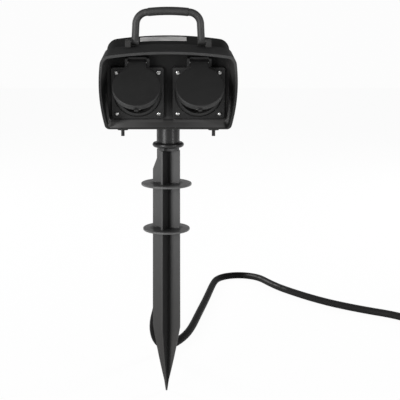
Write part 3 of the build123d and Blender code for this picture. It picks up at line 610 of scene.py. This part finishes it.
# %% Mix the metals
BRUSHED = (1, 1, 14)
DULL_STEP = (0.6, 0.12)


def metal(name, colour, rough):
    """A brushed metal with dull spots."""
    r = Recipe(name)
    lines = r.noise(0.5, 3.0, BRUSHED)
    dull = r.noise(2.5, 4.0).above(*DULL_STEP) * 0.35
    tint = r.blend(dull, (*colour, 1), tuple(c * 0.72 for c in colour) + (1,))
    gloss = rough + (lines - 0.5) * 0.16 + dull * 0.35
    return r.finish(Base_Color=tint, Roughness=gloss, Metallic=1.0, Normal=r.bump(lines, 0.006))


metals = {
    "zinc_steel": metal("zinc_steel", (0.80, 0.80, 0.79), 0.26),
    "nickel_pins": metal("nickel_pins", (0.74, 0.72, 0.68), 0.20),
    "brass_contacts": metal("brass_contacts", (0.80, 0.58, 0.26), 0.24),
}
print("metals:", len(metals))

# %% [markdown]
# ## Dressing the solids
# The CAD model's record names a finish for each piece. The solids' shapes stay as they came, and
# only their materials are set, by those names. The lead's curve gets its rubber here too.

# %% Give every solid its finish
finishes = {**plastics, **rubbers, **metals}
slots = {piece["node"]: piece["material_slot"] for piece in frame["record"]["subparts"]}
for name, node in nodes.items():
    node.data.materials.clear()
    node.data.materials.append(finishes[slots[name]])
cord.data.materials.append(finishes["cord_rubber"])
print("finishes:", len(finishes))

# %% [markdown]
# ## The blank plate
# A pale plate of satin film is stuck on the top of the rear shell. The shell's top is arched, so
# a flat box would stand off it. Instead an outline with round corners is sliced into a fine grid,
# the grid is dropped onto the shell, point by point, and then it is given a thickness. The slices
# are closer together from side to side, where the shell bends more.

# %% Drop a sheet on the shell
PLATE_LEFT, PLATE_RIGHT = -27.0, 20.5
PLATE_FRONT, PLATE_BACK = 13.0, 25.0
PLATE_CORNER, CORNER_STEPS = 1.6, 5
PLATE_THICKNESS, PLATE_GAP = 0.35, 0.02
PLATE_CELLS = (0.9, 2.7)
DROP_FROM = 500.0


def rear_shell():
    """The rear housing's faces, ready to be hit by rays."""
    mesh = nodes["rear_housing"].data
    faces = [tuple(p.vertices) for p in mesh.polygons]
    return BVHTree.FromPolygons([v.co.copy() for v in mesh.vertices], faces)


def plate_outline():
    """The outline of the plate with its round corners, counter-clockwise."""
    left, right = PLATE_LEFT + PLATE_CORNER, PLATE_RIGHT - PLATE_CORNER
    front, back = PLATE_FRONT + PLATE_CORNER, PLATE_BACK - PLATE_CORNER
    points = []
    for quarter, (x, y) in enumerate(((right, back), (left, back), (left, front), (right, front))):
        for step in range(CORNER_STEPS + 1):
            turn = math.pi / 2 * (quarter + step / CORNER_STEPS)
            points.append((x + PLATE_CORNER * math.cos(turn), y + PLATE_CORNER * math.sin(turn)))
    return points


def make_plate():
    """A thin sheet in the plate's outline that follows the shell below it."""
    shell = rear_shell()
    shape = bmesh.new()
    face = shape.faces.new([shape.verts.new((x * MM, y * MM, 0)) for x, y in plate_outline()])
    face.normal_update()
    for axis, low, high in ((0, PLATE_LEFT, PLATE_RIGHT), (1, PLATE_FRONT, PLATE_BACK)):
        cuts = int((high - low) / PLATE_CELLS[axis])
        for k in range(1, cuts):
            place, normal = [0, 0, 0], [0, 0, 0]
            place[axis], normal[axis] = (low + (high - low) * k / cuts) * MM, 1
            parts = shape.verts[:] + shape.edges[:] + shape.faces[:]
            bmesh.ops.bisect_plane(shape, geom=parts, plane_co=place, plane_no=normal)
    for v in shape.verts:
        hit = shell.ray_cast(Vector((v.co.x, v.co.y, DROP_FROM * MM)), Vector((0, 0, -1)))[0]
        v.co.z = hit.z + PLATE_GAP * MM
    top = bmesh.ops.extrude_face_region(shape, geom=shape.faces[:])["geom"]
    for v in (part for part in top if isinstance(part, bmesh.types.BMVert)):
        v.co.z += PLATE_THICKNESS * MM
    bmesh.ops.recalc_face_normals(shape, faces=shape.faces[:])
    mesh = bpy.data.meshes.new("blank_plate")
    shape.to_mesh(mesh)
    shape.free()
    plate = bpy.data.objects.new("blank_plate", mesh)
    bpy.context.scene.collection.objects.link(plate)
    return plate


plate = make_plate()
print("plate faces:", len(plate.data.polygons))

# %% [markdown]
# ### The plate's film
# The film is pale and a little silvery, with rubbed patches a few millimetres wide. It has its
# own material, but it counts as the head's finish.

# %% Finish the plate
WEAR_STEP = (0.60, 0.10)


def plate_finish():
    """Satin film: pale, faintly metallic, worn in small patches."""
    r = Recipe("plate_film")
    wear = r.noise(4.0, 5.0)
    fine = r.noise(0.6, 2.0)
    colour = r.blend(wear.above(*WEAR_STEP) * 0.5, grey(0.66, 0.01), grey(0.50, 0.01))
    rough = 0.30 + wear * 0.18
    return r.finish(Base_Color=colour, Roughness=rough, Metallic=0.1, Normal=r.bump(fine, 0.004))


plate.data.materials.append(plate_finish())
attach(plate, "root")
print("plate's finish:", plate.data.materials[0].name)

# %% [markdown]
# ## Small fittings
# The sockets are held by small bright pan-head screws, four to a flange, and the gland and the
# plug have ribs for flexing and gripping. Each of these is one small shape repeated, which is
# what Geometry Nodes are for: a tree makes the shape once and sets it on points. The points carry
# their own turn and stretch as attributes. The result becomes a plain mesh.

# %% Wrap Geometry Nodes
SHARP_ANGLE = math.radians(38)


class Fitting(Maker):
    """A Geometry Nodes tree with named sizes, in millimetres, that sets one shape on points."""

    def __init__(self, name, **sizes):
        group = bpy.data.node_groups.new(name, "GeometryNodeTree")
        super().__init__(group)
        self.name, self.sizes = name, {k.replace("_", " "): v for k, v in sizes.items()}
        face = group.interface
        face.new_socket("Geometry", in_out="INPUT", socket_type="NodeSocketGeometry")
        for label in self.sizes:
            face.new_socket(label, in_out="INPUT", socket_type="NodeSocketFloat")
        face.new_socket("Geometry", in_out="OUTPUT", socket_type="NodeSocketGeometry")
        self.start = self.tree.nodes.new("NodeGroupInput")

    def size(self, label):
        """One of the named sizes, as metres."""
        return Shade(self, self.start.outputs[label]) * MM

    def vector(self, x=0.0, y=0.0, z=0.0):
        """A vector from three values."""
        return self.add("ShaderNodeCombineXYZ", None, {"X": x, "Y": y, "Z": z})

    def moved(self, shape, shift=(0, 0, 0), turn=(0, 0, 0)):
        """A shape turned and then shifted."""
        values = {"Geometry": shape, "Translation": shift, "Rotation": turn}
        return self.add("GeometryNodeTransform", None, values)

    def finish(self, shape, material):
        """Sets the shape on the points, turned and scaled as each point says."""
        points = Shade(self, self.start.outputs["Geometry"])
        reading = {"data_type": "FLOAT_VECTOR"}
        turn = self.add("GeometryNodeInputNamedAttribute", reading, {"Name": "turn"})
        stretch = self.add("GeometryNodeInputNamedAttribute", reading, {"Name": "stretch"})
        rotation = self.add("FunctionNodeEulerToRotation", None, {"Euler": turn})
        values = {"Points": points, "Instance": shape, "Rotation": rotation, "Scale": stretch}
        copies = self.add("GeometryNodeInstanceOnPoints", None, values)
        solid = self.add("GeometryNodeRealizeInstances", None, {"Geometry": copies})
        coloured = self.add("GeometryNodeSetMaterial", None,
                            {"Geometry": solid, "Material": material})
        self.add("NodeGroupOutput", None, {"Geometry": coloured})

    def make(self, name, seats):
        """A plain mesh of the shape on seats, each a place, a matrix and a scale."""
        mesh = bpy.data.meshes.new(name)
        mesh.from_pydata([place * MM for place, turn, scale in seats], [], [])
        for label, values in (("turn", [tuple(t.to_euler()) for p, t, s in seats]),
                              ("stretch", [s for p, t, s in seats])):
            data = mesh.attributes.new(label, "FLOAT_VECTOR", "POINT").data
            for item, value in zip(data, values):
                item.vector = value
        piece = bpy.data.objects.new(name, mesh)
        bpy.context.scene.collection.objects.link(piece)
        modifier = piece.modifiers.new(self.name, "NODES")
        modifier.node_group = self.tree
        for socket in self.tree.interface.items_tree:
            if socket.name in self.sizes and socket.in_out == "INPUT":
                modifier[socket.identifier] = float(self.sizes[socket.name])
        ready = piece.evaluated_get(bpy.context.evaluated_depsgraph_get())
        solid = bpy.data.meshes.new_from_object(ready)
        piece.modifiers.clear()
        piece.data = solid
        solid.name = name
        for polygon in solid.polygons:
            polygon.use_smooth = True
        solid.set_sharp_from_angle(angle=SHARP_ANGLE)
        print(name, "faces:", len(solid.polygons))
        return piece


print("a fitting's own words:", [word for word in vars(Fitting) if not word.startswith("_")])

# %% [markdown]
# ### The shape of a screw
# A pan head is a low dome with an upright edge. Half a ball has neither, but when its height is
# raised to a power below one, its flanks stand up and its top stays round. Two crossed bars are
# cut out for the driver, and a plain shank goes into the flange.

# %% Turn a pan-head screw
BALL_SEGMENTS, BALL_RINGS, SHANK_SIDES = 28, 16, 16
CROWN_POWER = 0.62
SHANK_OVERLAP = 0.1


def screw_tree():
    """One pan-head screw, its head on the flange and its shank below."""
    f = Fitting("pan_head_screw", Head_Radius=2.15, Head_Height=1.5, Recess_Length=2.5,
                Recess_Width=0.62, Shank_Radius=1.35, Shank_Length=9.0)
    radius, height = f.size("Head Radius"), f.size("Head Height")
    ball = f.add("GeometryNodeMeshUVSphere", None,
                 {"Segments": BALL_SEGMENTS, "Rings": BALL_RINGS, "Radius": 1.0})
    x, y, z = f.split(f.add("GeometryNodeInputPosition"))
    rise = f.math("POWER", f.math("MAXIMUM", z, 0.0), CROWN_POWER)
    crowned = f.add("GeometryNodeSetPosition", None, {
        "Geometry": ball, "Position": f.vector(x * radius, y * radius, rise * height)})
    arm = f.vector(f.size("Recess Length"), f.size("Recess Width"), height * 1.5)
    slot = f.moved(f.add("GeometryNodeMeshCube", None, {"Size": arm}), f.vector(z=height))
    across = f.moved(slot, turn=(0, 0, math.pi / 2))
    head = f.add("GeometryNodeMeshBoolean", {"operation": "DIFFERENCE", "solver": "EXACT"},
                 {"Mesh 1": crowned, "Mesh 2": [slot, across]})
    length = f.size("Shank Length")
    shank = f.add("GeometryNodeMeshCylinder", None, {
        "Vertices": SHANK_SIDES, "Radius": f.size("Shank Radius"), "Depth": length})
    shank = f.moved(shank, f.vector(z=length * -0.5 + SHANK_OVERLAP * MM))
    whole = f.add("GeometryNodeJoinGeometry", None, {"Geometry": [head, shank]})
    f.finish(whole, metals["zinc_steel"])
    return f


screws = screw_tree()
print("nodes in the screw's tree:", len(screws.tree.nodes))

# %% [markdown]
# ### Setting the screws
# Four screws sit in the corners of each square flange, on the leaning panel. Screws rarely stop
# at the same angle when they are driven home, so each one is turned by its own amount. They take
# the place of the plain screws in the CAD model.

# %% Drive the screws
SCREW_PITCH = 41.6
SOCKET_PITCH = 60.4
PANEL_Y, PANEL_Z, PANEL_LEAN = -19.0, 324.2, math.radians(8)
FLANGE_FACE = 3.4
SCREW_TURNS, SIDE_TURN = (12, 48, 31, 64), 20
EVEN = (1.0, 1.0, 1.0)

panel_turn = Matrix.Rotation(PANEL_LEAN + math.pi / 2, 3, "X")
corners = [(i * SCREW_PITCH / 2, k * SCREW_PITCH / 2) for i in (-1, 1) for k in (-1, 1)]
for side, word in ((-1, "left"), (1, "right")):
    seats = []
    middle = Vector((HEAD_MIDDLE + side * SOCKET_PITCH / 2, PANEL_Y, PANEL_Z))
    for (along, up), turn in zip(corners, SCREW_TURNS):
        spin = Matrix.Rotation(math.radians(turn + SIDE_TURN * side), 3, "Z")
        seats.append((middle + panel_turn @ Vector((along, up, FLANGE_FACE)), panel_turn @ spin,
                      EVEN))
    piece = screws.make(f"bright_screws_{word}", seats)
    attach(piece, "root")
    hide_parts(f"flange_screws_{word}")

# %% [markdown]
# ### Rings on the bend reliefs
# Where the lead leaves the gland, and again where it enters the plug, a soft sleeve keeps it from
# kinking. One ring, a round bar bent to a circle, is made by a tree and set along the sleeve. The
# gland's sleeve tapers, so each ring is stretched to the sleeve's thickness at its own place.

# %% Set rings on the gland
GLAND_AXIS = Vector((1.8, 32.0, 0.0))
GLAND_TIP, GLAND_NUT = 250.0, 276.0
GLAND_TIP_RADIUS, GLAND_NUT_RADIUS = 6.1, 7.6
GLAND_RINGS, FIRST_RING = 5, 0.7
RING_THICKNESS = 0.9
RING_STEPS, BAR_STEPS = 40, 10


def ring_tree(name, radius, material):
    """One ring of round bar."""
    f = Fitting(name, Ring_Radius=radius, Thickness=RING_THICKNESS)
    line = f.add("GeometryNodeCurvePrimitiveCircle", None, {
        "Resolution": RING_STEPS, "Radius": f.size("Ring Radius")})
    round_bar = f.add("GeometryNodeCurvePrimitiveCircle", None, {
        "Resolution": BAR_STEPS, "Radius": f.size("Thickness")})
    ring = f.add("GeometryNodeCurveToMesh", None, {"Curve": line, "Profile Curve": round_bar})
    f.finish(ring, material)
    return f


seats = []
for k in range(GLAND_RINGS):
    share = (k + FIRST_RING) / GLAND_RINGS
    radius = GLAND_TIP_RADIUS + (GLAND_NUT_RADIUS - GLAND_TIP_RADIUS) * share
    height = GLAND_TIP + (GLAND_NUT - GLAND_TIP) * share
    stretch = radius / GLAND_NUT_RADIUS
    seats.append((GLAND_AXIS + Vector((0, 0, height)), Matrix.Identity(3), (stretch, stretch, 1)))
gland_rings = ring_tree("gland_ring", GLAND_NUT_RADIUS, plastics["gland_plastic"])
piece = gland_rings.make("gland_rings", seats)
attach(piece, "root")

# %% [markdown]
# ### Grip on the plug
# The plug's rings are for fingers. They sit where the plug grows thicker behind its sleeve, and
# they lean with the plug, so their seats are measured along its axis from the end of the sleeve.

# %% Set rings on the plug
PLUG_RELIEF_LENGTH = 34.0
PLUG_RINGS = ((5.5, 14.1), (9.0, 15.4), (12.5, 16.4))

plug_start = corner + climb * (TAIL_RUN + PLUG_RELIEF_LENGTH)
facing = climb.to_track_quat("Z", "Y").to_matrix()
widest = PLUG_RINGS[-1][1]
seats = [(plug_start + climb * along, facing, (radius / widest, radius / widest, 1))
         for along, radius in PLUG_RINGS]
plug_rings = ring_tree("plug_ring", widest, rubbers["plug_rubber"])
piece = plug_rings.make("plug_rings", seats)
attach(piece, "root")

# %% [markdown]

# %% [markdown]
# ## The floor
# The photograph is a studio picture on white. A flat pale sheet is the floor. To most rays it is
# plain and holds the post's shadow, but the camera sees it glow nearly white, so the picture's
# ground is white without more light on the post. Mirrors and glass see some of that glow too.
# Lengths of the floor, the lamps and the room are in metres.

# %% Lay the floor
FLOOR_SIZE = 8.0
FLOOR_TONE, FLOOR_GLOW = 0.75, 0.96
MIRRORED_SHARE = 0.4


def ray_kinds(r):
    """1 for rays from the camera, off glossy faces and through glass, one output for each."""
    kinds = ("Is Camera Ray", "Is Glossy Ray", "Is Transmission Ray")
    return [r.add("ShaderNodeLightPath", output=kind) for kind in kinds]


def make_floor():
    """A square pale floor that the camera sees as nearly white."""
    mesh = bpy.data.meshes.new("floor")
    s = FLOOR_SIZE / 2
    mesh.from_pydata([(-s, -s, 0), (s, -s, 0), (s, s, 0), (-s, s, 0)], [], [(0, 1, 2, 3)])
    floor = bpy.data.objects.new("floor", mesh)
    bpy.context.scene.collection.objects.link(floor)
    r = Recipe("floor_white")
    diffuse = r.add("ShaderNodeBsdfDiffuse", None, {"Color": grey(FLOOR_TONE)})
    glow = r.add("ShaderNodeEmission", None, {"Color": grey(1.0), "Strength": 1.0})
    seen, mirrored, through = ray_kinds(r)
    share = (seen + mirrored * MIRRORED_SHARE + through) * FLOOR_GLOW
    shown = r.add("ShaderNodeMixShader", None, {"Fac": share, 1: diffuse, 2: glow})
    r.add("ShaderNodeOutputMaterial", None, {"Surface": shown})
    mesh.materials.append(r.material)
    return floor


floor = make_floor()
print("floor:", FLOOR_SIZE, "m wide")

# %% [markdown]
# ## The lamps
# Softboxes stand at both sides in front, a big one on the left and a narrow, weaker one on the
# right, and give the broad highlights on the round parts. Two more stand behind and lift what
# faces up. They would leave hard glints on the shell if they were mirrored in it, so reflections
# don't see them. Each lamp is aimed at the same height, about halfway up the post.

# %% Hang the lamps
AIM = Vector((0, 0, 0.22))
LAMPS = {
    "softbox_left": dict(place=(-1.06, -1.30, 0.52), width=0.55, height=0.95, power=19),
    "softbox_right": dict(place=(1.30, -1.10, 0.52), width=0.15, height=0.95, power=7),
    "softbox_back_left": dict(place=(-1.25, 1.00, 0.80), width=0.5, height=0.9, power=26,
                              mirrored=False),
    "softbox_back_right": dict(place=(1.25, 1.00, 0.80), width=0.5, height=0.9, power=26,
                               mirrored=False),
}


def softbox(name, place, width, height, power, mirrored=True):
    """A rectangular lamp that faces the post."""
    lamp = bpy.data.lights.new(name, "AREA")
    lamp.shape = "RECTANGLE"
    lamp.size, lamp.size_y, lamp.energy = width, height, power
    holder = bpy.data.objects.new(name, lamp)
    holder.location = place
    holder.rotation_euler = (AIM - Vector(place)).to_track_quat("-Z", "Y").to_euler()
    holder.visible_glossy = mirrored
    bpy.context.scene.collection.objects.link(holder)


for name, lamp in LAMPS.items():
    softbox(name, **lamp)
print("lamps:", len(LAMPS))

# %% [markdown]
# ## The room
# Black plastic shows what stands round it, so the room matters more than the lamps. White walls
# under a dark ceiling leave a soft pale sheen on upright faces and keep the hood's top black. The
# camera sees the room as white, a mirror sees its walls as about half white, and all other rays
# get only a faint glow from it. The picture is shown as it is, with the Standard view.

# %% Set up the room
ROOM_WHITE = 0.968
CEILING_GLOW, WALL_GLOW = 0.07, 0.24
WALL_END = (0.45, 0.25)


def make_room():
    """White walls under a dark ceiling: seen as white, and lighting the post only softly."""
    world = bpy.data.worlds.new("studio")
    r = Recipe("studio", owner=world)
    direction = r.add("ShaderNodeTexCoord", output="Generated")
    rise = r.add("ShaderNodeSeparateXYZ", None, {"Vector": direction}, output="Z")
    walls = rise.below(*WALL_END)
    seen, mirrored, through = ray_kinds(r)
    plain = walls * (WALL_GLOW - CEILING_GLOW) + CEILING_GLOW
    white = (seen + through) * ROOM_WHITE + mirrored * walls * MIRRORED_SHARE
    share = r.math("MINIMUM", white, 1.0)
    glow = plain + share * (1 - plain)
    shader = r.add("ShaderNodeBackground", None, {"Color": grey(1.0), "Strength": glow})
    r.add("ShaderNodeOutputWorld", None, {"Surface": shader})
    return world


bpy.context.scene.world = make_room()
bpy.context.scene.view_settings.view_transform = "Standard"
print("room:", bpy.context.scene.world.name)

# %% [markdown]
